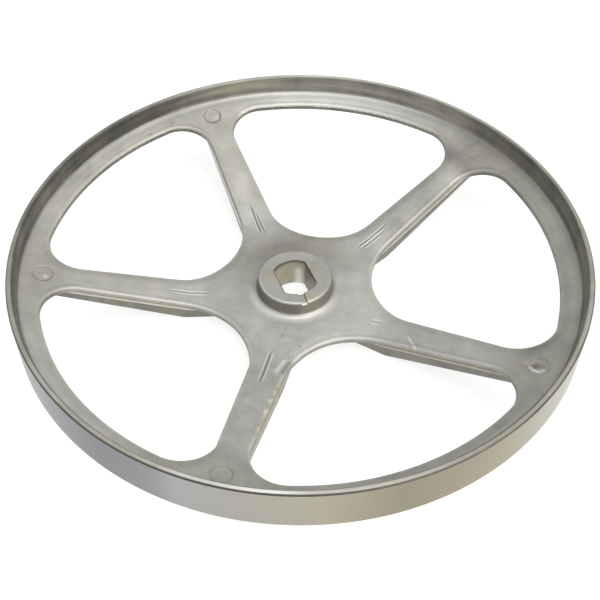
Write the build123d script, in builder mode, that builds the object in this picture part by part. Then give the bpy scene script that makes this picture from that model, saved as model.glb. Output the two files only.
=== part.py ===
from build123d import *
import math
import os

# A die-cast aluminium drum pulley for a flat or multi-rib belt, one casting, seen as named regions.
# The origin is the centre of the hub's back face and +Z runs along the shaft axis, out of the boss.

# Belt rim
rim_diameter = 280.0
rim_height = 23.0
rim_wall = 3.0
rim_wall_root = 3.8
rim_edge_chamfer = 0.6
rim_base_z = 19.5

# Dished web: a flat hub plate that turns up into a cone
plate_thickness = 3.0
hub_plate_z = 9.1
dish_radius = 51.6
dish_angle = 15.3
dish_bend_radius = 40.0
web_fillet = 3.5

# Windows between the spokes
spoke_count = 5
first_spoke_angle = 36.0
spoke_half_width = 7.7
spoke_width_radius = 84.0
spoke_taper = 1.7
window_outer_radius = 127.4
window_hub_fillet = 35.8
window_corner_fillet = 17.0

# Channel-shaped ribs under the spokes
rib_half_width = 8.4
rib_wall = 2.2
rib_ledge_depth = 2.9
rib_flat_radius = 57.0
rib_angle = 17.3

# Hub boss and two-flat shaft hole
boss_top_z = 16.8
boss_top_radius = 18.4
boss_draft = 10.0
boss_base_fillet = 2.0
boss_top_fillet = 0.6
back_tube_radius = 21.0
hole_diameter = 23.0
hole_across_flats = 16.8
hole_angle = 17.0
notch_angle = -79.0
notch_width = 3.0
notch_depth = 1.3
notch_start_radius = 2.0

# Seams between the named regions, all cylinders about the shaft axis
boss_seam = 25.0
hub_seam = 62.0
ring_seam = 107.0
rim_seam = 132.0

# How far shapes run into their neighbours, and how closely a corner is picked out
overlap = 1.0
pick_tolerance = 0.01

rim_radius = rim_diameter / 2
rim_top_z = rim_base_z + rim_height
seam_cut_height = 4 * rim_top_z
dish_slope = math.tan(math.radians(dish_angle))
spoke_pitch = 360.0 / spoke_count
spoke_angles = [first_spoke_angle + spoke_pitch * i for i in range(spoke_count)]


def web_top_z(radius):
    """Height of the web's top face at a radius outside the bend."""
    return hub_plate_z + (radius - dish_radius) * dish_slope


root_radius = rim_radius - rim_wall_root
root_z = web_top_z(root_radius)
inside_rim_radius = root_radius + overlap
inside_rim_z = web_top_z(inside_rim_radius)
cone_drop = plate_thickness / math.cos(math.radians(dish_angle))

# The dished disc, before its windows are cut
with BuildPart() as casting:
    with BuildSketch(Plane.XZ) as web_profile:
        with BuildLine():
            Polyline(
                (0, hub_plate_z - plate_thickness),
                (dish_radius, hub_plate_z - plate_thickness),
                (inside_rim_radius, inside_rim_z - cone_drop),
                (inside_rim_radius, inside_rim_z),
                (dish_radius, hub_plate_z),
                (0, hub_plate_z),
                close=True,
            )
        make_face()
        bend_corners = [v for v in web_profile.vertices() if abs(v.X - dish_radius) < pick_tolerance]
        fillet(bend_corners, radius=dish_bend_radius)
    revolve(axis=Axis.Z)

    # Five windows: two spoke edges, a round hub end and the circle beside the rim
    edge_angle = spoke_pitch / 2 + spoke_taper
    half_pitch = math.radians(spoke_pitch / 2)
    edge_x = spoke_width_radius * math.cos(half_pitch) + spoke_half_width * math.sin(half_pitch)
    edge_y = spoke_width_radius * math.sin(half_pitch) - spoke_half_width * math.cos(half_pitch)
    edge_tangent = math.tan(math.radians(edge_angle))
    apex_x = edge_x - edge_y / edge_tangent
    reach = rim_radius - apex_x
    with BuildSketch() as window_shape:
        with BuildLine():
            Polyline(
                (apex_x, 0),
                (apex_x + reach, reach * edge_tangent),
                (apex_x + reach, -reach * edge_tangent),
                close=True,
            )
        make_face()
        Circle(window_outer_radius, mode=Mode.INTERSECT)
        corners = window_shape.vertices().sort_by(Axis.X)
        fillet(corners[0], radius=window_hub_fillet)
        fillet(window_shape.vertices().sort_by(Axis.X)[-2:], radius=window_corner_fillet)
    with BuildSketch() as windows:
        with PolarLocations(0, spoke_count, start_angle=first_spoke_angle + spoke_pitch / 2):
            add(window_shape.sketch)
    extrude(amount=rim_top_z, mode=Mode.SUBTRACT)

    # Channel-shaped ribs: a straight block under each spoke, hollowed from behind
    rib_slope = math.tan(math.radians(rib_angle))
    rib_foot_z = (inside_rim_radius - rib_flat_radius) * rib_slope
    channel_end = root_radius - rib_wall
    channel_foot_z = (channel_end - rib_flat_radius) * rib_slope
    channel_start = back_tube_radius - overlap
    for angle in spoke_angles:
        spoke_plane = Plane.XZ.rotated((0, 0, angle))
        with BuildSketch(spoke_plane) as rib_side:
            with BuildLine():
                Polyline(
                    (0, 0),
                    (rib_flat_radius, 0),
                    (inside_rim_radius, rib_foot_z),
                    (inside_rim_radius, inside_rim_z - rib_ledge_depth),
                    (dish_radius, hub_plate_z - rib_ledge_depth),
                    (0, hub_plate_z - rib_ledge_depth),
                    close=True,
                )
            make_face()
        extrude(amount=rib_half_width, both=True)
    for angle in spoke_angles:
        spoke_plane = Plane.XZ.rotated((0, 0, angle))
        with BuildSketch(spoke_plane) as channel_side:
            with BuildLine():
                Polyline(
                    (channel_start, -overlap),
                    (rib_flat_radius, -overlap),
                    (channel_end, channel_foot_z - overlap),
                    (channel_end, web_top_z(channel_end) - cone_drop),
                    (dish_radius, hub_plate_z - plate_thickness),
                    (channel_start, hub_plate_z - plate_thickness),
                    close=True,
                )
            make_face()
        extrude(amount=rib_half_width - rib_wall, both=True, mode=Mode.SUBTRACT)

    # Rim wall, drafted inside, with a small radius-like chamfer on its outer corners
    with BuildSketch(Plane.XZ) as rim_profile:
        with BuildLine():
            Polyline(
                (rim_radius, rim_base_z),
                (rim_radius, rim_top_z),
                (rim_radius - rim_wall, rim_top_z),
                (root_radius, root_z),
                (rim_seam, web_top_z(rim_seam)),
                (rim_seam, web_top_z(rim_seam) - cone_drop),
                (root_radius, root_z - cone_drop),
                (rim_radius - rim_wall, rim_base_z),
                close=True,
            )
        make_face()
        root_corners = [v for v in rim_profile.vertices() if abs(v.X - root_radius) < pick_tolerance]
        fillet(root_corners, radius=web_fillet)
        outer_corners = rim_profile.vertices().group_by(Axis.X)[-1]
        chamfer(outer_corners, length=rim_edge_chamfer)
    revolve(axis=Axis.Z)

    # Hub boss with draft, and the tube behind it
    boss_height = boss_top_z - hub_plate_z
    boss_base_radius = boss_top_radius + boss_height * math.tan(math.radians(boss_draft))
    boss_foot_radius = boss_base_radius + 2 * boss_base_fillet
    with BuildSketch(Plane.XZ) as boss_profile:
        with BuildLine():
            Polyline(
                (0, 0),
                (back_tube_radius, 0),
                (back_tube_radius, hub_plate_z - plate_thickness / 2),
                (boss_foot_radius, hub_plate_z - plate_thickness / 2),
                (boss_foot_radius, hub_plate_z),
                (boss_base_radius, hub_plate_z),
                (boss_top_radius, boss_top_z),
                (0, boss_top_z),
                close=True,
            )
        make_face()
        base_corner = [v for v in boss_profile.vertices() if abs(v.X - boss_base_radius) < pick_tolerance]
        fillet(base_corner, radius=boss_base_fillet)
        top_corner = boss_profile.vertices().group_by(Axis.Y)[-1].sort_by(Axis.X)[-1]
        fillet(top_corner, radius=boss_top_fillet)
    revolve(axis=Axis.Z)

    # Two-flat shaft hole and the witness notch across the boss face
    with BuildSketch(Plane.XY.rotated((0, 0, hole_angle))) as shaft_hole:
        Circle(hole_diameter / 2)
        Rectangle(hole_across_flats, hole_diameter, mode=Mode.INTERSECT)
    extrude(amount=boss_top_z, mode=Mode.SUBTRACT)
    notch_plane = Plane.XY.offset(boss_top_z).rotated((0, 0, notch_angle))
    with BuildSketch(notch_plane) as notch:
        with Locations((boss_top_radius / 2 + notch_start_radius, 0)):
            Rectangle(boss_top_radius, notch_width)
    extrude(amount=-notch_depth, mode=Mode.SUBTRACT)


# Belt rim region: the wall and its fillet into the web
with BuildPart() as belt_rim:
    add(casting.part)
    Cylinder(rim_seam, seam_cut_height, mode=Mode.SUBTRACT)

# Web ring region, with the feet of the window corners
with BuildPart() as rim_web:
    add(casting.part)
    Cylinder(rim_seam, seam_cut_height, mode=Mode.INTERSECT)
    Cylinder(ring_seam, seam_cut_height, mode=Mode.SUBTRACT)

# Spokes: the ring between the hub plate and the web ring falls apart into one spoke per direction
with BuildPart() as spoke_band:
    add(casting.part)
    Cylinder(ring_seam, seam_cut_height, mode=Mode.INTERSECT)
    Cylinder(hub_seam, seam_cut_height, mode=Mode.SUBTRACT)

# Hub plate region
with BuildPart() as hub_plate:
    add(casting.part)
    Cylinder(hub_seam, seam_cut_height, mode=Mode.INTERSECT)
    Cylinder(boss_seam, seam_cut_height, mode=Mode.SUBTRACT)

# Hub boss region
with BuildPart() as hub_boss:
    add(casting.part)
    Cylinder(boss_seam, seam_cut_height, mode=Mode.INTERSECT)

os.makedirs("parts", exist_ok=True)

belt_rim.part.label = "belt_rim"
export_step(belt_rim.part, "parts/belt_rim.step")

rim_web.part.label = "rim_web"
export_step(rim_web.part, "parts/rim_web.step")

hub_plate.part.label = "hub_plate"
export_step(hub_plate.part, "parts/hub_plate.step")

hub_boss.part.label = "hub_boss"
export_step(hub_boss.part, "parts/hub_boss.step")

# Spokes, numbered counter-clockwise from the first
for number, angle in enumerate(spoke_angles, start=1):
    middle = Vector(1, 0, 0).rotate(Axis.Z, angle) * (hub_seam + ring_seam) / 2
    with BuildPart() as spoke:
        add(spoke_band.solids().sort_by_distance(middle)[0])
    spoke.part.label = f"spoke_{number}"
    export_step(spoke.part, f"parts/spoke_{number}.step")
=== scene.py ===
import math

import bmesh
import bpy
import numpy as np
from mathutils import Matrix, Vector, noise


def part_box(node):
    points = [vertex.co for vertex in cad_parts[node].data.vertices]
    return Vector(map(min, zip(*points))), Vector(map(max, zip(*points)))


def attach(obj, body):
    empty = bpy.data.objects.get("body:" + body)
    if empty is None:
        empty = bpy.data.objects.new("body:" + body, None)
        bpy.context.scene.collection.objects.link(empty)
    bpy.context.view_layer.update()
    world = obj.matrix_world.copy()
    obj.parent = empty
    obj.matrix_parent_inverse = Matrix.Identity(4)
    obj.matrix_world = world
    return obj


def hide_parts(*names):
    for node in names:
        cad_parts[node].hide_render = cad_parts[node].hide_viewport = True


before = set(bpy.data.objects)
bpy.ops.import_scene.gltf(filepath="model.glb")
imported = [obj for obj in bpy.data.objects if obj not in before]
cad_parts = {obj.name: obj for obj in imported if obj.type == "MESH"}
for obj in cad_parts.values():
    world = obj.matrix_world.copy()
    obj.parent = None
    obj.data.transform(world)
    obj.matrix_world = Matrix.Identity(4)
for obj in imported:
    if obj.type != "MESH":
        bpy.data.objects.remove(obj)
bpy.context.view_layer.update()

# A die-cast drum pulley. Lengths are in millimetres and become metres when a mesh is made.
# The origin is the centre of the hub's back face, and +Z runs out of the boss.

MM = 0.001
FULL_TURN = 2 * math.pi


def box_mm(node):
    """Lowest and highest corner of a CAD node, in millimetres."""
    low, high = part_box(node)
    return np.array(low) / MM, np.array(high) / MM


# ---------------------------------------------------------------- sizes

rim_low, rim_high = box_mm("belt_rim")
boss_high = box_mm("hub_boss")[1]

RIM_R = min(*rim_high[:2], *-rim_low[:2])
RIM_TOP = rim_high[2]
RIM_BASE = rim_low[2]
BOSS_TOP = boss_high[2]
RIM_SEAM = 132.0
BOSS_SEAM = 25.0

RIM_WALL = 3.0
RIM_WALL_ROOT = 3.8
LIP_INNER = 0.95
LIP_OUTER = 0.75
RIM_EDGE_ROUND = 0.5
WEB_FILLET = 3.8
RIM_SEGMENTS = 720

PLATE = 3.0
HUB_PLATE_Z = 9.1
DISH_R = 51.6
DISH_ANGLE = math.radians(15.3)
DISH_BEND = 60.0

SPOKES = 5
PITCH = FULL_TURN / SPOKES
FIRST_SPOKE = math.radians(36)
SPOKE_HALF = 7.7
SPOKE_HALF_AT = 84.0
SPOKE_TAPER = math.radians(1.7)
WINDOW_R = 127.4
HUB_FILLET = 35.8
CORNER_FILLET = 17.0

EDGE_ROUND = 0.75
EDGE_ROLL = 0.5
EDGE_ROLL_WIDTH = 6.0

RIB_LEDGE = 2.9
RIB_LEDGE_OUT = 1.15
RIB_DRAFT = 1.0
RIB_FOOT = 2.0
RIB_ROOT = 1.2
RIB_FLAT_R = 57.0
RIB_SLOPE = math.tan(math.radians(17.3))
RIB_START = 18.5
RIB_END = RIM_R - RIM_WALL_ROOT + 0.8

BOSS_R = 18.4
BOSS_DRAFT = math.tan(math.radians(9))
BOSS_FILLET = 2.8
BOSS_EDGE = 0.9
TUBE_R = 21.0
TUBE_EDGE = 0.8
HOLE_R = 11.5
HOLE_FLAT = 8.4
HOLE_EDGE = 0.3
HOLE_MARGIN = 4.0
HOLE_TURN = math.radians(17)
NOTCH_TURN = math.radians(-79)
NOTCH_HALF = 1.5
NOTCH_DEPTH = 1.3
NOTCH_STRIP = 3.2
NOTCH_COLUMNS = 73
BOSS_COLUMNS = 640
HOLE_SHARPNESS = 60.0

bend_start = DISH_R - DISH_BEND * math.tan(DISH_ANGLE / 2)
bend_run = DISH_BEND * math.sin(DISH_ANGLE)


def web_height(r):
    """Top face of the dished web at radius r."""
    r = np.asarray(r, float)
    inside = np.clip(r - bend_start, 0, bend_run)
    curve = DISH_BEND - np.sqrt(DISH_BEND**2 - inside**2)
    return HUB_PLATE_Z + curve + np.maximum(r - bend_start - bend_run, 0) * math.tan(DISH_ANGLE)


def spoke_half(s):
    """Half the width of a spoke's top face at distance s from the shaft axis."""
    return SPOKE_HALF + (SPOKE_HALF_AT - s) * math.tan(SPOKE_TAPER)


# ---------------------------------------------------------------- marks of the casting
# Each mark belongs to a spoke, counted from 0, and is placed by s along it and t across it.

# Grooves: s and t at the hub end, s and t at the rim end, depth, half-width
GROOVES = [
    [(42, 0.6, 67, 1.2, 0.32, 0.45), (44, -1.5, 61, -1.0, 0.28, 0.45)],
    [(43, 1.7, 65, 0.2, 0.32, 0.45), (43, -0.3, 60, -0.7, 0.28, 0.45)],
    [(42, 1.0, 66, 0.3, 0.32, 0.45)],
    [(42, -1.2, 67, -1.0, 0.36, 0.5), (46, 9.7, 58, 6.9, 0.28, 1.4)],
    [(43, 0.5, 50, 2.3, 0.16, 0.6), (63.3, -0.9, 73, -9.5, -0.20, 0.8)],
]
# Dirt and painted shade in the groove floors, and a painted highlight on their lips
GROOVE_DIRT_AND_SHADE = 3.0
# Round ejector marks: s, depth of the disc, dirt and painted shade in the ring round it
EJECTORS = [
    (128.0, 0.06, 0.3), (127.0, 0.28, 0.9), (125.5, 0.24, 0.8), (126.5, 0.20, 0.7), (125.7, 0.24, 0.4),
]
EJECTOR_R = 4.65
# Pits: s, t, radius, depth, which is below 0 where the spot is raised
PITS = [
    [],
    [(124.2, 38.7, 0.8, 0.3), (129.0, 23.9, 0.8, 0.3), (125.4, -1.6, 1.6, -0.1)],
    [(124.1, 1.4, 1.2, -0.25)],
    [(32.6, 1.5, 0.7, 0.3), (36.7, 11.0, 0.7, 0.3)],
    [
        (124.6, -0.2, 1.6, 0.5), (127.5, 0.6, 1.1, 0.25), (123.2, -2.2, 1.0, -0.35),
        (124.8, -3.3, 1.0, -0.4), (126.8, -3.4, 1.1, -0.35), (128.8, -2.0, 1.0, -0.3),
    ],
]
# Dirt and painted shade in pits, and a painted highlight on raised spots
PIT_DIRT_AND_SHADE = 2.2
PEAK_HIGHLIGHT = 3.6
CRATER_SPOKE = 4
CRATER_SPOT_R = 120.3
CHIPPED_SPOKE = 3
# Chips along that spoke's edge: s, distance in from the edge, radius, depth
CHIPS = [
    (67.5, 0.2, 1.6, 0.2), (73.0, 0.4, 1.2, 0.25), (76.5, 1.2, 0.9, -0.13), (80.0, 0.1, 1.5, 0.22),
    (84.0, 0.9, 1.0, -0.16), (89.5, 0.2, 1.6, 0.2), (93.0, 0.5, 1.2, 0.15), (99.0, 0.2, 1.8, 0.18),
]
for chip_s, chip_inward, chip_radius, chip_depth in CHIPS:
    PITS[CHIPPED_SPOKE].append((chip_s, float(spoke_half(chip_s)) - chip_inward, chip_radius, chip_depth))

# Painted shade at the foot of each spoke, and the turns round the wheel where painted shade, shadow,
# highlights and stains lie
FOOT_SHADE = [0.37, 0.24, 0.33, 0.24, 0.17]
RIM_SHADE_TURN = math.radians(5)
HIGHLIGHT_TURN = math.radians(76)
BOSS_SHADOW_TURN = math.radians(95)
SPOKE_SHADE_TURN = math.radians(60)
FILM_TURN = math.radians(140)
DARK_WALL_TURN = math.radians(128)
KHAKI_TURN = math.radians(101)
LIP_HIGHLIGHT_TURN = math.radians(-98)
LIP_SHADE_TURN = math.radians(-56)
FAR_LIP_SHADE_TURN = math.radians(150)
BOSS_HIGHLIGHT_TURN = math.radians(-105)
BORE_HIGHLIGHT_TURN = math.radians(76)


def smooth_step(value):
    """0 up to 0, 1 from 1 on, and a smooth rise between them."""
    value = np.clip(value, 0, 1)
    return value * value * (3 - 2 * value)


def bump_at(value, centre, width):
    """A smooth bump of height 1 round a centre."""
    return np.exp(-(((value - centre) / width) ** 2))


def turn_from(turn, centre):
    """The angle from a centre to a turn, between half a turn back and half a turn on."""
    return (turn - centre + math.pi) % FULL_TURN - math.pi


def casting_marks(x, y):
    """How far the top face is raised by its marks at each point, and the dirt and painted light that they
    carry.
    """
    raised = np.zeros_like(x)
    grime_and_painted_light = np.zeros_like(x)
    for spoke in range(SPOKES):
        c, s = math.cos(FIRST_SPOKE + spoke * PITCH), math.sin(FIRST_SPOKE + spoke * PITCH)
        along = x * c + y * s
        across = y * c - x * s
        for s0, t0, s1, t1, depth, half in GROOVES[spoke]:
            share = np.clip((along - s0) / (s1 - s0), 0, 1)
            side = across - (t0 + (t1 - t0) * share)
            ends = smooth_step(share / 0.2) * smooth_step((1 - share) / 0.25)
            floor_of_it = bump_at(side, 0, half) * ends
            lips = bump_at(np.abs(side), 2.1 * half, 0.8 * half) * ends
            raised += depth * (0.45 * lips - floor_of_it)
            grime_and_painted_light += GROOVE_DIRT_AND_SHADE * depth * (floor_of_it - 0.6 * lips)
        place, depth, ring_dirt_and_shade = EJECTORS[spoke]
        gap = EJECTOR_R - np.hypot(along - place, across)
        ring = bump_at(gap, 0, 0.38)
        raised -= depth * (smooth_step(gap / 0.6 + 0.5) + 0.8 * ring)
        # A painted highlight inside each ejector ring, on its side towards +Y and -X
        upper = np.clip((0.9 * (y - place * s) - 0.45 * (x - place * c)) / EJECTOR_R, 0, 1)
        grime_and_painted_light += ring_dirt_and_shade * ring - 2.2 * depth * upper * bump_at(gap, 0.9, 0.45)
        for s0, t0, radius, depth in PITS[spoke]:
            dent = np.exp(-(((along - s0) ** 2 + (across - t0) ** 2) / radius**2))
            raised -= depth * dent
            grime_and_painted_light += (PIT_DIRT_AND_SHADE if depth > 0 else PEAK_HIGHLIGHT) * depth * dent
    return raised, grime_and_painted_light


def top_face(x, y):
    """Height of the web's top face, with its marks and its slow unevenness, and its number for dirt, wear
    and painted light.
    """
    r = np.hypot(x, y)
    places = np.stack([x.ravel() / 15, y.ravel() / 15, np.full(x.size, 2.7)], 1)
    uneven = np.array([noise.noise(Vector(p)) for p in places]).reshape(x.shape)
    soft = smooth_step((RIM_SEAM - r) / 4) * smooth_step((r - BOSS_SEAM) / 4)
    firm = smooth_step((RIM_SEAM - r) / 1) * smooth_step((r - BOSS_SEAM) / 1)
    raised, grime_and_painted_light = casting_marks(x, y)
    # Broad painted shade, shadow and highlight, a little less of it on the crater's spot
    painted_light = painted_shade_and_highlight(x, y) - 0.4 * crater_spot(x, y)
    return web_height(r) + 0.1 * uneven * soft + raised * firm, grime_and_painted_light * firm + painted_light


def painted_shade_and_highlight(x, y):
    """Broad painted light: painted shade beside the rim, most towards +X and at the feet of the spokes,
    painted shade on the spokes towards one side, the boss's painted shadow behind it, and a painted
    highlight on the far side of the ring.
    """
    r, turn = np.hypot(x, y), np.arctan2(y, x)
    nearest = np.round((turn - FIRST_SPOKE) / PITCH).astype(int) % SPOKES
    spoke_end = np.array(FOOT_SHADE)[nearest] * np.clip(np.cos(SPOKES * (turn - FIRST_SPOKE)), 0, 1)
    beside_rim = smooth_step((r - 106) / 14) * (0.32 + 0.24 * np.cos(turn - RIM_SHADE_TURN) + spoke_end)
    painted_highlight = smooth_step((r - 118) / 8) * bump_at(turn, HIGHLIGHT_TURN, 0.55)
    spoke_shade = smooth_step((r - 55) / 15) * smooth_step((112 - r) / 10) * (1 + np.cos(turn - SPOKE_SHADE_TURN))
    behind_boss = smooth_step((47 - r) / 18) * np.clip(np.cos(turn - BOSS_SHADOW_TURN), 0, 1)
    return beside_rim - 0.85 * painted_highlight + 0.85 * behind_boss + 0.12 * spoke_shade


def crater_spot(x, y):
    """A small reddish spot on the hub side of the crater."""
    turn = FIRST_SPOKE + CRATER_SPOKE * PITCH
    gap = np.hypot(x - CRATER_SPOT_R * math.cos(turn), y - CRATER_SPOT_R * math.sin(turn))
    return bump_at(gap, 0, 1.3)


def warm_film(x, y):
    """Brown film on the top face: faint on the left, strong along the chipped edge and on one spot."""
    r, turn = np.hypot(x, y), np.arctan2(y, x) % FULL_TURN
    ring = 0.22 * smooth_step((r - 60) / 40) * bump_at(turn, FILM_TURN, 0.8)
    c, s = math.cos(FIRST_SPOKE + CHIPPED_SPOKE * PITCH), math.sin(FIRST_SPOKE + CHIPPED_SPOKE * PITCH)
    along = x * c + y * s
    edge = bump_at(y * c - x * s, spoke_half(along) - 0.4, 1.5)
    ragged = 0.75 + 0.25 * np.sin(0.9 * along) * np.cos(0.37 * along)
    chipped = 0.75 * edge * ragged * smooth_step((along - 56) / 10) * smooth_step((112 - along) / 20)
    return ring + chipped + crater_spot(x, y)


# ---------------------------------------------------------------- mesh helpers


GRIME_AND_LIGHT_RANGE = 2.0


class Shell:
    """Collects the grids and polygons of one piece, in millimetres.

    Each point has a number for dirt, wear and painted light: 1 is khaki, 2 is nearly black, below 0 is
    bright; dirt and painted shade raise it, wear and painted highlights take it below 0.
    Stain is another one, from 0 to 1, for a warm brown film.
    """

    def __init__(self):
        self.points = []
        self.grime_and_painted_light = []
        self.stain = []
        self.faces = []
        self.slots = []

    def grid(self, array, grime_and_painted_light=0.0, stain=0.0, wrap=False, slots=None):
        """Adds a rows by columns by 3 array as quads. wrap joins the last row to the first."""
        rows, columns = array.shape[:2]
        base = len(self.points)
        self.points.extend(map(tuple, array.reshape(-1, 3)))
        self.grime_and_painted_light.extend(np.broadcast_to(grime_and_painted_light, (rows, columns)).ravel())
        self.stain.extend(np.broadcast_to(stain, (rows, columns)).ravel())
        for i in range(rows if wrap else rows - 1):
            here = base + i * columns
            there = base + (i + 1) % rows * columns
            for j in range(columns - 1):
                self.faces.append((here + j, here + j + 1, there + j + 1, there + j))
                self.slots.append(slots[j] if slots else 0)

    def polygon(self, array, grime_and_painted_light):
        base = len(self.points)
        self.points.extend(map(tuple, array))
        self.grime_and_painted_light.extend(np.broadcast_to(grime_and_painted_light, len(array)))
        self.stain.extend([0.0] * len(array))
        self.faces.append(tuple(range(base, base + len(array))))
        self.slots.append(0)

    def piece(self, name, materials, sharp=38):
        """Makes the object: welded, with its normals outwards and its hard corners sharp."""
        points = np.array(self.points) * MM
        if not np.isfinite(points).all():
            raise ValueError(f"{name} has a point that is not a number")
        mesh = bpy.data.meshes.new(name)
        mesh.from_pydata(points.tolist(), [], self.faces)
        for material in materials:
            mesh.materials.append(material)
        mesh.polygons.foreach_set("material_index", self.slots)
        for channel, stored in (("grime_and_painted_light", np.array(self.grime_and_painted_light) / GRIME_AND_LIGHT_RANGE), ("stain", self.stain)):
            mesh.attributes.new(channel, "FLOAT", "POINT").data.foreach_set("value", stored)
        work = bmesh.new()
        work.from_mesh(mesh)
        bmesh.ops.remove_doubles(work, verts=work.verts, dist=3e-6)
        bmesh.ops.recalc_face_normals(work, faces=work.faces)
        work.to_mesh(mesh)
        work.free()
        mesh.polygons.foreach_set("use_smooth", [True] * len(mesh.polygons))
        mesh.set_sharp_from_angle(angle=math.radians(sharp))
        made = bpy.data.objects.new(name, mesh)
        bpy.context.scene.collection.objects.link(made)
        return made


def turned(array, angle):
    """Points, or their x and y alone, turned about the shaft axis."""
    c, s = math.cos(angle), math.sin(angle)
    x, y = array[..., 0], array[..., 1]
    return np.concatenate([np.stack([x * c - y * s, x * s + y * c], -1), array[..., 2:]], -1)


def rounded(corners, segments=6):
    """A polyline through (x, y, radius) corners, each rounded by its radius."""
    out = []
    for i, (x, y, radius) in enumerate(corners):
        here = np.array([x, y], float)
        if radius == 0:
            out.append(here)
            continue
        before = np.array(corners[i - 1][:2]) - here
        after = np.array(corners[(i + 1) % len(corners)][:2]) - here
        before /= np.linalg.norm(before)
        after /= np.linalg.norm(after)
        half = math.acos(np.clip(before @ after, -1, 1)) / 2
        middle = (before + after) / np.linalg.norm(before + after)
        centre = here + middle * radius / math.sin(half)
        first = here + before * radius / math.tan(half) - centre
        last = here + after * radius / math.tan(half) - centre
        for share in np.linspace(0, 1, segments + 1):
            spoke = first * (1 - share) + last * share
            out.append(centre + spoke * radius / np.linalg.norm(spoke))
    return np.array(out)


def supported(profile, near=0.15, longest=4.0):
    """The same outline with extra points by its corners, so that smooth shading keeps flats flat."""
    out = [profile[0]]
    for start, end in zip(profile[:-1], profile[1:]):
        length = np.linalg.norm(end - start)
        if length > 4 * near:
            steps = np.linspace(near, length - near, max(2, math.ceil(length / longest) + 1))
            out.extend(start + (end - start) * step / length for step in steps)
        out.append(end)
    return np.array(out)


# ---------------------------------------------------------------- the dished plate
# A window is seen with its bisector on +X. From every point of the upper half of its outline a ray
# runs square into the metal, to the spoke's axis, the boss seam or the rim seam. The plate is a
# grid of those rays, turned and mirrored round the wheel.


def fan(centre, radius, start, end, step):
    """Points of an arc and the directions square to it, about step apart."""
    count = max(3, math.ceil(abs(end - start) * radius / step))
    turns = np.linspace(start, end, count)
    directions = np.stack([np.cos(turns), np.sin(turns)], -1)
    return centre + radius * directions, directions


def joined(*runs):
    """Runs of points and directions end to end, without the points they share."""
    points = np.concatenate([run[0] if i == 0 else run[0][1:] for i, run in enumerate(runs)])
    directions = np.concatenate([run[1] if i == 0 else run[1][1:] for i, run in enumerate(runs)])
    return points, directions


spoke_axis = np.array([math.cos(PITCH / 2), math.sin(PITCH / 2)])
spoke_side = np.array([spoke_axis[1], -spoke_axis[0]])
edge_turn = PITCH / 2 + SPOKE_TAPER
edge_along = np.array([math.cos(edge_turn), math.sin(edge_turn)])
edge_in = np.array([edge_along[1], -edge_along[0]])

edge_offset = (SPOKE_HALF_AT * spoke_axis + SPOKE_HALF * spoke_side) @ edge_in
hub_centre = np.array([(edge_offset + HUB_FILLET) / math.sin(edge_turn), 0.0])
corner_reach = edge_offset + CORNER_FILLET
corner_run = math.sqrt((WINDOW_R - CORNER_FILLET) ** 2 - corner_reach**2)
corner_centre = corner_reach * edge_in + corner_run * edge_along
edge_start = hub_centre - HUB_FILLET * edge_in
edge_end = corner_centre - CORNER_FILLET * edge_in
hub_seam_s = float(edge_start @ spoke_axis)
rim_seam_s = float(edge_end @ spoke_axis)


def turn_of(vector):
    return math.atan2(vector[1], vector[0])


to_edge = turn_of(-edge_in)
to_boss_corner = turn_of(BOSS_SEAM * spoke_axis - hub_centre)
to_rim_corner = turn_of(RIM_SEAM * spoke_axis - corner_centre)
rim_turn = turn_of(corner_centre)

BOSS_RAY_STEP = 0.6
HUB_RAY_STEP = 0.5
CORNER_RAY_STEP = 0.4
RIM_RAY_STEP = 0.9
SPOKE_RAYS = 66

hub_rays = joined(
    fan(hub_centre, HUB_FILLET, math.pi, to_boss_corner, BOSS_RAY_STEP),
    fan(hub_centre, HUB_FILLET, to_boss_corner, to_edge, HUB_RAY_STEP),
)
edge_steps = np.linspace(0, 1, SPOKE_RAYS)[:, None]
spoke_edge = edge_start * (1 - edge_steps) + edge_end * edge_steps
spoke_rays = (spoke_edge, np.tile(-edge_in, (SPOKE_RAYS, 1)))
rim_rays = joined(
    fan(corner_centre, CORNER_FILLET, to_edge, to_rim_corner, CORNER_RAY_STEP),
    fan(corner_centre, CORNER_FILLET, to_rim_corner, rim_turn, CORNER_RAY_STEP),
    fan(np.zeros(2), WINDOW_R, rim_turn, 0.0, RIM_RAY_STEP),
)


def ray_lengths(points, directions):
    """How far each ray runs before it meets the spoke's axis or a seam circle."""
    across = np.array([-spoke_axis[1], spoke_axis[0]])
    speed = directions @ across
    lengths = np.full(len(points), np.inf)
    rising = speed > 1e-6
    lengths[rising] = -(points[rising] @ across) / speed[rising]
    b = np.sum(points * directions, 1)
    c = np.sum(points**2, 1)
    inner = b**2 - c + BOSS_SEAM**2
    meets = (inner >= -1e-6) & (b < 0)
    lengths[meets] = np.minimum(lengths[meets], -b[meets] - np.sqrt(np.maximum(inner[meets], 0)))
    return np.minimum(lengths, np.sqrt(b**2 - c + RIM_SEAM**2) - b)


# Rows of the plate's grid, by distance along a ray: beside the window, before the end, and between
LEAD = np.array([0, 0.03, 0.09, 0.17, 0.28, 0.42, 0.58, 0.75, 1.1, 1.8])
TAIL = np.linspace(6.0, 0, 21)
MIDDLE = 22
UNDER = 9
# The window's edge below its rounding: distance into the metal and depth under the top face
EDGE_WALL = np.array([
    (0, 0.75), (-0.08, 1.2), (-0.16, 1.8), (-0.22, 2.3), (-0.25, 2.65), (-0.25, 2.9), (-0.1, 3.0),
])
# Painted shade on the edge walls under a window's rounding and on the plate's underside
WALL_SHADE = 0.65
UNDERSIDE_SHADE = 0.4
# Edge walls that face this way are stained instead of grey
STAINED_SIDE = np.array([0.309, -0.951])
# Khaki dirt and painted shade on the rib walls
RIB_DIRT_AND_SHADE = 1.2
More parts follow.
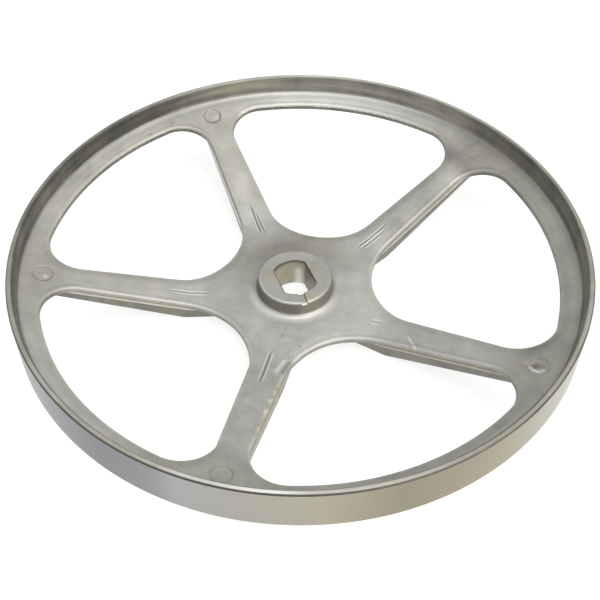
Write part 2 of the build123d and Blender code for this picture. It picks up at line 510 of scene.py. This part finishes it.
# For each spoke: the stain on its ribs, and the painted highlight on the ledges of its ribs
RIB_STAIN = [0.5, 0.05, 0.5, 0.5, 0.6]
LEDGE_HIGHLIGHT = [0.2, 0.6, 0.4, 0.15, 0.25]
LEDGE_POINTS = 9


def edge_tone(distance, facing):
    """Painted light beside a window: a painted highlight along every edge, strongest where the edge faces
    the front, painted shade in from edges that face the back, and a narrow strip of painted shade just in
    from the front edges.
    """
    front = np.clip(facing, 0, 1)
    rear = np.clip(-facing, 0, 1)
    painted_highlight = (0.2 + 0.35 * front) * bump_at(distance, 0.45, 0.55)
    painted_shade = 0.30 * rear * bump_at(distance, 2.2, 2.4)
    valley = 0.38 * front * bump_at(distance, 2.1, 0.8)
    return painted_shade + valley - painted_highlight


def plate_half(shell, ray_set, turn, mirrored, cut_rows, seam_radius=None):
    """Half a window's share of the plate: its top, edge wall, underside and cut ends."""
    points, directions = ray_set
    reach = ray_lengths(points, directions)[:, None]

    def place(distance):
        flat = points[:, None] + directions[:, None] * distance[..., None]
        return turned(flat * [1, -1] if mirrored else flat, turn)

    tail = reach - TAIL * np.minimum(1, reach / 12)
    shares = np.linspace(0, 1, MIDDLE + 2)[1:-1]
    lead = np.tile(LEAD, (len(points), 1))
    middle = lead[:, -1:] + (tail[:, :1] - lead[:, -1:]) * shares
    distance = np.concatenate([lead, middle, tail], 1)
    flat = place(distance)
    rounding = EDGE_ROUND - np.sqrt(EDGE_ROUND**2 - np.clip(EDGE_ROUND - distance, 0, EDGE_ROUND) ** 2)
    roll_width = np.minimum(EDGE_ROLL_WIDTH, reach)
    roll = EDGE_ROLL * np.clip(1 - distance / roll_width, 0, 1) ** 2 * roll_width / EDGE_ROLL_WIDTH
    height, grime_and_painted_light = top_face(flat[..., 0], flat[..., 1])
    height = height - rounding - roll
    inward = turned(directions * [1, -1] if mirrored else directions, turn)
    # Painted highlights and painted shade along the window's edges
    grime_and_painted_light = grime_and_painted_light + edge_tone(distance, inward[:, 1:])
    top = np.concatenate([flat, height[..., None]], -1)

    wall_flat = place(np.tile(EDGE_WALL[:, 0], (len(points), 1)))
    under_edge = web_height(np.linalg.norm(points, axis=1))[:, None] - PLATE
    share = (EDGE_WALL[:, 1] - EDGE_ROUND) / (PLATE - EDGE_ROUND)
    wall_height = height[:, :1] + (under_edge - height[:, :1]) * share
    wall = np.concatenate([wall_flat, wall_height[..., None]], -1)

    start = EDGE_WALL[-1, 0]
    under_flat = place(start + (reach - start) * np.linspace(0, 1, UNDER))
    under_height = web_height(np.linalg.norm(under_flat, axis=-1)) - PLATE
    under_height[:, 0] = wall_height[:, -1]
    under = np.concatenate([under_flat, under_height[..., None]], -1)

    edge_r = np.linalg.norm(points, axis=1)[:, None]
    beside_rim = smooth_step((edge_r - 112) / 8)
    beside_spoke = smooth_step((edge_r - 52) / 8) * (1 - beside_rim)
    stained = np.clip(-1.4 * inward @ STAINED_SIDE, 0, 1)[:, None] * beside_spoke
    shell.grid(top, grime_and_painted_light, warm_film(flat[..., 0], flat[..., 1]))
    # The edge walls take painted shade, more beside the rim and less where they are stained
    shell.grid(wall, WALL_SHADE + 0.6 * beside_rim - 0.5 * stained, 0.5 * stained)
    shell.grid(under, UNDERSIDE_SHADE)
    for row in cut_rows:
        outline = np.concatenate([top[row][::-1], wall[row][1:], under[row][1:]])
        below = np.full(len(outline) - grime_and_painted_light.shape[1], WALL_SHADE)
        shell.polygon(outline, np.concatenate([grime_and_painted_light[row][::-1], below]))
    if seam_radius:
        on_seam = np.abs(np.linalg.norm(flat[:, -1], axis=-1) - seam_radius) < 1e-3
        shell.grid(np.stack([top[on_seam, -1], under[on_seam, -1]], 1))


def rib_pair(shell, spoke, start, end):
    """The two ribs behind one spoke between two distances along it, each a closed wall."""
    for side in (1, -1):
        sections = []
        for s in np.linspace(start, end, max(8, math.ceil((end - start) / 1.5))):
            half = float(spoke_half(s))
            top = float(web_height(math.hypot(s, half)))
            foot = max(0.0, (s - RIB_FLAT_R) * RIB_SLOPE)
            foot_out = half + RIB_LEDGE_OUT - RIB_DRAFT
            root = foot_out - RIB_FOOT - RIB_DRAFT / 2
            ceiling = top - PLATE + 0.1
            outline = rounded([
                (root - RIB_ROOT, top - RIB_LEDGE, 0),
                (half, top - RIB_LEDGE, 0),
                (half + RIB_LEDGE_OUT, top - RIB_LEDGE, 0.35),
                (half + RIB_LEDGE_OUT - 0.04, top - RIB_LEDGE - 0.7, 0),
                (foot_out, foot, 0.6),
                (foot_out - RIB_FOOT, foot, 0.6),
                (root, ceiling, RIB_ROOT),
                (root - RIB_ROOT * 1.2, ceiling, 0),
            ])
            t, z = outline[:, 0] * side, outline[:, 1]
            sections.append(np.stack([np.full(len(t), s), t, z], -1))
        solid = turned(np.array(sections), FIRST_SPOKE + spoke * PITCH)
        grime_and_painted_light = np.full(solid.shape[1], RIB_DIRT_AND_SHADE)
        # The ledge of each rib takes a painted highlight, the rest of it khaki dirt and painted shade
        grime_and_painted_light[:LEDGE_POINTS] = -LEDGE_HIGHLIGHT[spoke]
        stain = np.where(grime_and_painted_light > 0, 0.6, 1.0) * RIB_STAIN[spoke]
        shell.grid(solid.transpose(1, 0, 2), grime_and_painted_light[:, None], stain[:, None], wrap=True)
        shell.polygon(solid[0], grime_and_painted_light)
        shell.polygon(solid[-1], grime_and_painted_light)


# ---------------------------------------------------------------- the pieces


def make_spoke(spoke, material):
    shell = Shell()
    turn = FIRST_SPOKE + spoke * PITCH
    plate_half(shell, spoke_rays, turn - PITCH / 2, False, (0, -1))
    plate_half(shell, spoke_rays, turn + PITCH / 2, True, (0, -1))
    rib_pair(shell, spoke, hub_seam_s, rim_seam_s)
    return shell.piece(f"spoke_{spoke + 1}_casting", [material])


def make_web_ring(name, ray_set, cut_row, seam_radius, rib_span, material):
    """The hub's or the rim's share of the plate, with the ends of all the ribs behind it."""
    shell = Shell()
    for window in range(SPOKES):
        turn = FIRST_SPOKE + (window + 0.5) * PITCH
        for mirrored in (False, True):
            plate_half(shell, ray_set, turn, mirrored, (cut_row,), seam_radius)
        rib_pair(shell, window, *rib_span)
    return shell.piece(name, [material])


def rim_profile(root_r, root_z):
    """Outline of the rim and its fillet into the web, as r and z, closed at its first point."""
    seam_z = float(web_height(RIM_SEAM))
    outline = rounded([
        (RIM_SEAM, seam_z - PLATE, 0),
        (RIM_SEAM, seam_z, 0),
        (root_r, root_z, WEB_FILLET),
        (RIM_R - RIM_WALL, RIM_TOP - LIP_INNER, 0.25),
        (RIM_R - RIM_WALL + LIP_INNER, RIM_TOP, 0.25),
        (RIM_R - LIP_OUTER, RIM_TOP, 0.15),
        (RIM_R, RIM_TOP - LIP_OUTER, 0.15),
        (RIM_R, RIM_BASE, RIM_EDGE_ROUND),
        (RIM_R - RIM_WALL - 0.2, RIM_BASE, RIM_EDGE_ROUND),
        (root_r, root_z - PLATE, 1.5),
    ])
    return supported(np.concatenate([outline, outline[:1]]), longest=1.5)


def rim_wall_tone(z, turn, away, streaks):
    """Painted shade on the inside of the rim wall, with dirt streaks: least on the side of the painted
    highlight, most towards the lip.
    """
    side = 0.8 * smooth_step((away - 0.4) / 0.6) + 0.4 * bump_at(turn, DARK_WALL_TURN, 0.45)
    top = 0.35 * smooth_step((z - RIM_TOP + 3.2) / 1.2) + 0.4 * smooth_step((z - RIM_TOP + LIP_INNER) / 0.2)
    return 0.72 + side + top + 0.5 * streaks


def lip_tone(turn, away, streaks):
    """Painted light on the lip, with dirt streaks: a painted highlight at the front and at the back,
    painted shade between them.
    """
    painted_highlight = 0.85 * bump_at(away, 0, 0.5) + 0.96 * bump_at(turn, LIP_HIGHLIGHT_TURN, 0.45)
    painted_shade = 0.28 * bump_at(turn, LIP_SHADE_TURN, 0.3) + 0.55 * bump_at(turn_from(turn, FAR_LIP_SHADE_TURN), 0, 0.55)
    return 0.46 - painted_highlight + painted_shade + 0.5 * streaks


def make_rim(cast, turned_face):
    """The flat belt rim, turned from its profile, with the fillet that joins it to the web."""
    root_r = RIM_R - RIM_WALL_ROOT
    root_z = float(web_height(root_r))
    r, z = rim_profile(root_r, root_z).T
    outer = r > RIM_R - 0.02
    lip = (r > RIM_R - RIM_WALL + LIP_INNER - 0.3) & (z > RIM_TOP - 0.01)
    chamfer = (r > RIM_R - LIP_OUTER + 0.05) & (r < RIM_R - 0.02) & (z > RIM_TOP - LIP_OUTER)
    inside = (r < RIM_R - RIM_WALL + 0.3) & (z > root_z - PLATE)
    lip_corner = ~inside & ~outer & ~chamfer & (z > root_z)
    behind = (z < root_z - PLATE) & ~outer
    slots = [int(outer[j] and outer[j + 1]) for j in range(len(r) - 1)]

    turns = np.arange(RIM_SEGMENTS) * FULL_TURN / RIM_SEGMENTS
    c, s = np.cos(turns)[:, None], np.sin(turns)[:, None]
    spots = zip(c[:, 0], s[:, 0])
    streaks = np.array([[noise.noise(Vector((5 * x, 5 * y, 0.6 * up))) for up in z] for x, y in spots])
    turn = turn_from(turns[:, None], 0)
    away = np.abs(turn_from(turn, HIGHLIGHT_TURN))

    up_wall = smooth_step((z - root_z - 0.2) / 1.7)
    # On the web: the broad painted light, and a painted highlight on the fillet at the far side
    far_fillet_highlight = bump_at(z, root_z + 0.35, 0.4) * bump_at(away, 0, 0.75)
    web = painted_shade_and_highlight(r * c, r * s) - far_fillet_highlight
    khaki_band = bump_at(turn, KHAKI_TURN, 0.24) * smooth_step((z - RIM_TOP + 7) / 2)
    wall = rim_wall_tone(z, turn, away, streaks) - 0.45 * khaki_band
    on_lip = lip_tone(turn, away, streaks)
    # The lip's inner corner takes more painted shade on the +Y half, away from the painted highlight
    on_corner = on_lip + 0.5 * smooth_step((away - 0.5) / 0.4) * (turn > 0)
    grime_and_painted_light = np.where(inside, up_wall * wall + (1 - up_wall) * web, 0.0)
    # The rim's back takes painted shade; the chamfer is a dark line
    for where, tone in ((lip_corner, on_corner), (chamfer, 1.9), (lip, on_lip), (behind, 0.5)):
        grime_and_painted_light = np.where(where, tone, grime_and_painted_light)
    stain = up_wall * inside * np.maximum(0.35 * smooth_step(0.5 - 2 * streaks), 0.8 * khaki_band)
    stain = np.where(lip, 0.28 * smooth_step(0.5 + 2 * streaks), stain)

    shell = Shell()
    shell.grid(np.stack([r * c, r * s, z + 0 * c], -1), grime_and_painted_light, stain, wrap=True, slots=slots)
    return shell.piece("belt_rim_turned", [cast, turned_face])


def hole_radius(turn, grow):
    """Distance from the shaft axis to the double-D hole's outline, grown by a given amount."""
    flat = (HOLE_FLAT + grow) / np.maximum(np.abs(np.cos(turn - HOLE_TURN)), 1e-3)
    return ((HOLE_R + grow) ** -HOLE_SHARPNESS + flat**-HOLE_SHARPNESS) ** (-1 / HOLE_SHARPNESS)


def boss_tone(nominal, z, turn):
    """Dirt and painted light on the boss: painted shade on its walls and under it, a painted highlight on
    its front edge and on the front of its foot, darker towards the top of the bore and on its flats, and a
    painted highlight as a streak in the bore.
    """
    front = np.clip(np.cos(turn - BOSS_HIGHLIGHT_TURN), 0, 1)
    # Painted shade under the plate
    if z < HUB_PLATE_Z - 0.1 and nominal > HOLE_R + HOLE_EDGE:
        return np.full_like(turn, 0.5)
    if nominal < HOLE_R + 0.3 * HOLE_EDGE:
        shade = 1.7 * smooth_step((z - BOSS_TOP + 2.4) / 2.0)
        flat = smooth_step((np.cos(turn - HOLE_TURN) - 0.72) / 0.1)
        bore_highlight = bump_at(turn, BORE_HIGHLIGHT_TURN, 0.17) * smooth_step((BOSS_TOP - 3 - z) / 5)
        return shade + 0.9 * flat - 1.3 * bore_highlight
    # Painted shade on the boss wall, a painted highlight on the front of its foot, and the broad painted
    # light on the plate round it
    if nominal > BOSS_R - 0.05 and z < BOSS_TOP - 0.9 * BOSS_EDGE:
        low = smooth_step((HUB_PLATE_Z + 1.7 - z) / 1.0) * smooth_step((BOSS_SEAM - nominal) / 3)
        wall = (1.15 - 0.3 * front) * (1 - low) * (z > HUB_PLATE_Z + 0.01)
        flat_painted_light = painted_shade_and_highlight(nominal * np.cos(turn), nominal * np.sin(turn)) * (z < HUB_PLATE_Z + 0.2)
        return wall - 0.75 * low * front + flat_painted_light
    # The face: a painted highlight along its front edge, a dark line round the hole's edge, and a little
    # darker towards +X
    edge = bump_at(nominal, BOSS_R - 0.5, 0.5)
    hole_edge = 1.6 * (nominal < HOLE_R + HOLE_EDGE + 0.01)
    return 0.32 + 0.14 * np.clip(np.cos(turn), 0, 1) + hole_edge - 0.8 * edge * (0.3 + front)


def boss_stain(nominal, z, turn):
    """Brown film: in the shaft hole, beside the notch, left of the hole and round the front foot."""
    if nominal < HOLE_R + 0.3 * HOLE_EDGE:
        return np.full_like(turn, 0.75)
    if z < HUB_PLATE_Z + 0.6 * BOSS_FILLET:
        front = np.clip(np.cos(turn - BOSS_HIGHLIGHT_TURN), 0, 1)
        return 0.35 * front**2 * smooth_step((z - HUB_PLATE_Z) / 0.5)
    beside_notch = bump_at(turn, NOTCH_TURN + 0.26, 0.2) * bump_at(nominal, 14, 3.2)
    left = bump_at(np.abs(turn), math.pi, 0.6) * bump_at(nominal, 13, 2.2)
    return np.maximum(beside_notch, 0.5 * left)


def make_boss(material):
    """The boss, its back tube and the double-D hole, with the notch across its face."""
    under = HUB_PLATE_Z - PLATE
    base_r = BOSS_R + (BOSS_TOP - HUB_PLATE_Z) * BOSS_DRAFT
    back = supported(rounded([
        (BOSS_SEAM, HUB_PLATE_Z, 0),
        (BOSS_SEAM, under, 0),
        (TUBE_R, under, 1.5),
        (TUBE_R, 0, TUBE_EDGE),
        (HOLE_R + HOLE_MARGIN, 0, 0),
    ]))
    hole = supported(rounded([
        (HOLE_R + HOLE_MARGIN, 0, 0),
        (HOLE_R + HOLE_EDGE, 0, 0),
        (HOLE_R, HOLE_EDGE, 0),
        (HOLE_R, BOSS_TOP - HOLE_EDGE, 0),
        (HOLE_R + HOLE_EDGE, BOSS_TOP, 0),
        (HOLE_R + HOLE_MARGIN, BOSS_TOP, 0),
    ]), longest=1.0)
    front = supported(rounded([
        (HOLE_R + HOLE_MARGIN, BOSS_TOP, 0),
        (BOSS_R, BOSS_TOP, BOSS_EDGE),
        (base_r, HUB_PLATE_Z, BOSS_FILLET),
        (BOSS_SEAM, HUB_PLATE_Z, 0),
    ]), longest=1.5)

    # Beside the notch the rows run along it; elsewhere they are spread evenly round.
    beside = np.linspace(-NOTCH_STRIP, NOTCH_STRIP, NOTCH_COLUMNS)
    around = np.linspace(0, 1, BOSS_COLUMNS)[1:-1]
    grid = []
    grime_and_painted_light = []
    stain = []
    for nominal, z in np.concatenate([back[:-1], hole, front[1:]]):
        first = math.asin(NOTCH_STRIP / nominal)
        turn = np.concatenate([np.arcsin(beside / nominal), first + around * (FULL_TURN - 2 * first)])
        side = nominal * np.sin(turn)
        cut = (1 - smooth_step((np.abs(side) - NOTCH_HALF) / 0.25 + 0.5)) * (np.cos(turn) > 0)
        turn = turn_from(turn, -NOTCH_TURN)
        grow = nominal - HOLE_R
        plain = np.clip((grow - HOLE_EDGE) / (HOLE_MARGIN - HOLE_EDGE), 0, 1)
        radius = hole_radius(turn, grow) * (1 - plain) + nominal * plain
        height = np.minimum(z, BOSS_TOP - NOTCH_DEPTH * cut)
        grid.append(np.stack([radius * np.cos(turn), radius * np.sin(turn), height], -1))
        # A painted highlight at the notch's outer end
        notch_end_highlight = 1.2 * cut * smooth_step((nominal - 16.5) / 1.5) * (nominal < BOSS_R + 1)
        grime_and_painted_light.append(boss_tone(nominal, z, turn) - notch_end_highlight * (z > BOSS_TOP - NOTCH_DEPTH - 0.2))
        stain.append(boss_stain(nominal, z, turn))
    shell = Shell()
    shell.grid(np.array(grid).transpose(1, 0, 2), np.array(grime_and_painted_light).T, np.array(stain).T, wrap=True)
    return shell.piece("hub_boss_casting", [material])


# ---------------------------------------------------------------- materials


class Nodes:
    """A small helper that adds shader nodes and links them by socket name."""

    def __init__(self, name):
        self.material = bpy.data.materials.new(name)
        self.material.use_nodes = True
        self.tree = self.material.node_tree
        self.shader = self.tree.nodes["Principled BSDF"]
        self.object_space = self.add("ShaderNodeTexCoord").outputs["Object"]

    def add(self, kind, links=None, **settings):
        node = self.tree.nodes.new(kind)
        for key, value in settings.items():
            if hasattr(node, key):
                setattr(node, key, value)
            else:
                node.inputs[key.replace("_", " ").title()].default_value = value
        for socket, output in (links or {}).items():
            self.tree.links.new(output, node.inputs[socket])
        return node

    def stretched(self, scale):
        mapping = self.add("ShaderNodeMapping", {"Vector": self.object_space})
        mapping.inputs["Scale"].default_value = scale
        return mapping.outputs["Vector"]

    def noise(self, scale, detail=3.0, roughness=0.55, vector=None):
        links = {"Vector": vector or self.object_space}
        node = self.add("ShaderNodeTexNoise", links, scale=scale, detail=detail, roughness=roughness)
        return node.outputs["Fac"]

    def ramp(self, value, stops):
        """A ramp from (position, grey or colour) stops."""
        node = self.add("ShaderNodeValToRGB", {"Fac": value})
        while len(node.color_ramp.elements) < len(stops):
            node.color_ramp.elements.new(0.5)
        for element, (position, shade) in zip(node.color_ramp.elements, stops):
            element.position = position
            element.color = (*shade, 1) if isinstance(shade, tuple) else (shade, shade, shade, 1)
        return node.outputs["Color"]

    def mixed(self, first, second, factor, blend="MIX"):
        """Two colours mixed; factor is a number or an output."""
        node = self.tree.nodes.new("ShaderNodeMix")
        node.data_type = "RGBA"
        node.blend_type = blend
        for socket, value in ((0, factor), (6, first), (7, second)):
            if isinstance(value, bpy.types.NodeSocket):
                self.tree.links.new(value, node.inputs[socket])
            else:
                node.inputs[socket].default_value = value
        return node.outputs[2]

    def bump(self, height, distance, strength=1.0, normal=None):
        links = {"Height": height}
        if normal:
            links["Normal"] = normal
        node = self.add("ShaderNodeBump", links, strength=strength)
        node.inputs["Distance"].default_value = distance
        return node.outputs["Normal"]

    def finish(self, colour, roughness, normal, metallic):
        for socket, output in (("Base Color", colour), ("Roughness", roughness), ("Normal", normal)):
            self.tree.links.new(output, self.shader.inputs[socket])
        self.shader.inputs["Metallic"].default_value = metallic
        return self.material


def cast_aluminium():
    """As-cast aluminium: warm grey and cloudy, khaki and dark where dirt sits and where shade is painted,
    bright where wear is and where highlights are painted.
    """
    n = Nodes("cast_aluminium")
    greys = [(0.3, (0.345, 0.35, 0.33)), (0.5, (0.385, 0.387, 0.365)), (0.7, (0.43, 0.425, 0.40))]
    clouds = n.ramp(n.noise(38, 4), greys)
    flow = n.ramp(n.noise(150, 5, 0.65), [(0.35, 0.84), (0.62, 1.05)])
    toned = n.mixed(clouds, flow, 0.5, "MULTIPLY")
    specks = n.ramp(n.noise(420, 2, 0.5), [(0.30, 0.62), (0.40, 1.0)])
    speckled = n.mixed(toned, specks, 0.2, "MULTIPLY")
    # The number read here holds dirt, wear and painted light: painted shade turns the metal khaki and dark,
    # painted highlights below 0 turn it bright
    grime_and_painted_light = n.add("ShaderNodeAttribute", attribute_name="grime_and_painted_light").outputs["Fac"]
    dirt_and_shade = n.ramp(grime_and_painted_light, [(0.0, 0.0), (0.5, 0.92)])
    soot_and_shade = n.ramp(grime_and_painted_light, [(0.5, 1.0), (1.0, 0.35)])
    dirt = n.noise(70, 4, 0.6, n.stretched((1, 1, 0.4)))
    khaki = n.ramp(dirt, [(0.35, (0.152, 0.146, 0.132)), (0.6, (0.235, 0.228, 0.182))])
    stain = n.add("ShaderNodeAttribute", attribute_name="stain").outputs["Fac"]
    film = n.ramp(n.noise(200, 3), [(0.3, (0.36, 0.31, 0.205)), (0.7, (0.50, 0.47, 0.33))])
    stained = n.mixed(speckled, film, stain)
    soiled_and_shaded = n.mixed(n.mixed(stained, khaki, dirt_and_shade), soot_and_shade, 1.0, "MULTIPLY")
    inverse = n.add("ShaderNodeMath", operation="MULTIPLY")
    inverse.inputs[1].default_value = -1.0
    n.tree.links.new(grime_and_painted_light, inverse.inputs[0])
    wear_and_highlight = n.ramp(inverse.outputs[0], [(0.0, 0.0), (0.55, 1.0)])
    colour = n.mixed(soiled_and_shaded, (0.76, 0.755, 0.73, 1), wear_and_highlight)
    rough = n.ramp(n.noise(90, 4), [(0.3, 0.38), (0.7, 0.52)])
    skin = n.bump(n.noise(1100, 3), 0.00006, 0.5)
    swell = n.bump(n.noise(130, 3), 0.00035, 0.5, skin)
    return n.finish(colour, rough, swell, 0.5)


# Painted reflections on the belt face round the rim, as shares of a full turn from -X by way of -Y
BELT_FACE_PAINTED_REFLECTIONS = [
    (0.00, (0.172, 0.166, 0.166)),
    (0.139, (0.163, 0.166, 0.183)),
    (0.17, (0.246, 0.245, 0.250)),
    (0.182, (0.345, 0.345, 0.355)),
    (0.25, (0.385, 0.360, 0.270)),
    (0.286, (0.267, 0.242, 0.171)),
    (0.337, (0.300, 0.263, 0.179)),
    (0.388, (0.330, 0.316, 0.250)),
    (0.60, (0.365, 0.360, 0.335)),
    (1.00, (0.172, 0.166, 0.166)),
]


def machined_aluminium():
    """The turned belt face: smoother, with fine lines round the rim and painted reflections that change
    slowly round it.
    """
    n = Nodes("machined_aluminium")
    rings = n.noise(1.0, 2, 0.6, n.stretched((6, 6, 4200)))
    place = n.add("ShaderNodeSeparateXYZ", {"Vector": n.object_space}).outputs
    turn = n.add("ShaderNodeMath", operation="ARCTAN2")
    n.tree.links.new(place["Y"], turn.inputs[0])
    n.tree.links.new(place["X"], turn.inputs[1])
    share = n.add("ShaderNodeMapRange", {"Value": turn.outputs[0]})
    share.inputs["From Min"].default_value = -math.pi
    share.inputs["From Max"].default_value = math.pi
    # Painted reflections on the belt face, set by the angle round the rim
    clouds = n.ramp(share.outputs["Result"], BELT_FACE_PAINTED_REFLECTIONS)
    lines = n.ramp(rings, [(0.3, 0.90), (0.7, 1.04)])
    colour = n.mixed(clouds, lines, 0.6, "MULTIPLY")
    rough = n.ramp(rings, [(0.3, 0.22), (0.7, 0.34)])
    return n.finish(colour, rough, n.bump(rings, 0.00002, 0.4), 0.95)


def light_table():
    """A white floor that glows a little, so that shadows on it stay faint."""
    n = Nodes("floor_white")
    shade = n.ramp(n.noise(2, 2), [(0.3, 0.30), (0.7, 0.32)])
    n.tree.links.new(shade, n.shader.inputs["Base Color"])
    n.shader.inputs["Roughness"].default_value = 0.9
    n.shader.inputs["Emission Color"].default_value = (1, 1, 1, 1)
    n.shader.inputs["Emission Strength"].default_value = 0.80
    return n.material


# ---------------------------------------------------------------- assembly

cast = cast_aluminium()
machined = machined_aluminium()

built = {
    "hub_plate": make_web_ring("hub_plate_casting", hub_rays, -1, BOSS_SEAM, (RIB_START, hub_seam_s), cast),
    "rim_web": make_web_ring("rim_web_casting", rim_rays, 0, RIM_SEAM, (rim_seam_s, RIB_END), cast),
    "belt_rim": make_rim(cast, machined),
    "hub_boss": make_boss(cast),
}
for spoke in range(SPOKES):
    built[f"spoke_{spoke + 1}"] = make_spoke(spoke, cast)

for node, piece in built.items():
    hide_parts(node)
    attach(piece, "root")

# ---------------------------------------------------------------- floor, light and camera
# The floor, the lights and the camera are placed in metres.

COVE_R = 6.0
COVE_BEND = 1.0
COVE_TOP = 2.6
COVE_SEGMENTS = 96


def make_cove():
    """A round floor that curves up into a low wall, so that every view has a pale backdrop."""
    bend = np.linspace(0, math.pi / 2, 13)
    profile = [(0.5, 0.0), (2.0, 0.0)]
    profile += [(COVE_R - COVE_BEND * (1 - math.sin(t)), COVE_BEND * (1 - math.cos(t))) for t in bend]
    profile.append((COVE_R, COVE_TOP))
    r, z = np.array(profile).T
    turns = np.arange(COVE_SEGMENTS) * FULL_TURN / COVE_SEGMENTS
    c, s = np.cos(turns)[:, None], np.sin(turns)[:, None]
    shell = Shell()
    rings = np.stack([r * c, r * s, z + 0 * c], -1) / MM
    shell.grid(rings, wrap=True)
    shell.polygon(rings[:, 0], 0.0)
    return shell.piece("floor_and_backdrop", [light_table()])


make_cove()


def studio_world():
    """A soft room: brightest overhead, brighter to the right than to the left."""
    world = bpy.data.worlds.new("studio")
    world.use_nodes = True
    tree = world.node_tree
    direction = tree.nodes.new("ShaderNodeTexCoord").outputs["Generated"]
    weights = tree.nodes.new("ShaderNodeVectorMath")
    weights.operation = "DOT_PRODUCT"
    weights.inputs[1].default_value = (0.05, 0.30, 0.50)
    total = tree.nodes.new("ShaderNodeMath")
    total.operation = "ADD"
    total.use_clamp = False
    total.inputs[1].default_value = 0.28
    floor_level = tree.nodes.new("ShaderNodeMath")
    floor_level.operation = "MAXIMUM"
    floor_level.inputs[1].default_value = 0.25
    tree.links.new(direction, weights.inputs[0])
    tree.links.new(weights.outputs["Value"], total.inputs[0])
    tree.links.new(total.outputs[0], floor_level.inputs[0])
    tree.links.new(floor_level.outputs[0], tree.nodes["Background"].inputs["Strength"])
    tree.nodes["Background"].inputs["Color"].default_value = (1.0, 0.995, 0.98, 1)
    return world


bpy.context.scene.world = studio_world()
bpy.context.scene.view_settings.view_transform = "Standard"


def area_light(name, place, size, power, colour, aimed=True):
    """A soft rectangular lamp that points at the hub, or straight down when it isn't aimed."""
    data = bpy.data.lights.new(name, "AREA")
    data.shape = "RECTANGLE"
    data.size, data.size_y = size
    data.energy = power
    data.color = colour
    lamp = bpy.data.objects.new(name, data)
    lamp.location = place
    lamp.rotation_euler = (-Vector(place)).to_track_quat("-Z", "Y").to_euler() if aimed else (0, 0, 0)
    bpy.context.scene.collection.objects.link(lamp)


area_light("overhead", (0.3, 0.15, 1.5), (1.0, 1.5), 9, (1.0, 0.99, 0.97), aimed=False)
area_light("front_right", (1.0, -1.0, 0.9), (1.3, 1.3), 14, (1.0, 0.965, 0.91))

LENS = 56.5
SENSOR = 36.0
CAMERA_TURN = math.radians(0.47)
CAMERA_RISE = math.radians(46.0)
CAMERA_ROLL = math.radians(-3.47)
CAMERA_DISTANCE = 0.4573
CAMERA_ASIDE = 0.0267
CAMERA_UP = 0.0144

back = Vector((
    math.sin(CAMERA_TURN) * math.cos(CAMERA_RISE),
    -math.cos(CAMERA_TURN) * math.cos(CAMERA_RISE),
    math.sin(CAMERA_RISE),
))
level = Vector((math.cos(CAMERA_TURN), math.sin(CAMERA_TURN), 0))
upward = back.cross(level)
right = math.cos(CAMERA_ROLL) * level + math.sin(CAMERA_ROLL) * upward
up = math.cos(CAMERA_ROLL) * upward - math.sin(CAMERA_ROLL) * level
place = Vector((0, 0, RIM_TOP * MM)) + back * CAMERA_DISTANCE - right * CAMERA_ASIDE - up * CAMERA_UP

lens = bpy.data.cameras.new("camera")
lens.lens = LENS
lens.sensor_width = SENSOR
lens.shift_x = 0.100
lens.shift_y = -0.050
camera = bpy.data.objects.new("camera", lens)
camera.matrix_world = Matrix.Translation(place) @ Matrix((right, up, back)).transposed().to_4x4()
bpy.context.scene.collection.objects.link(camera)
bpy.context.scene.camera = camera
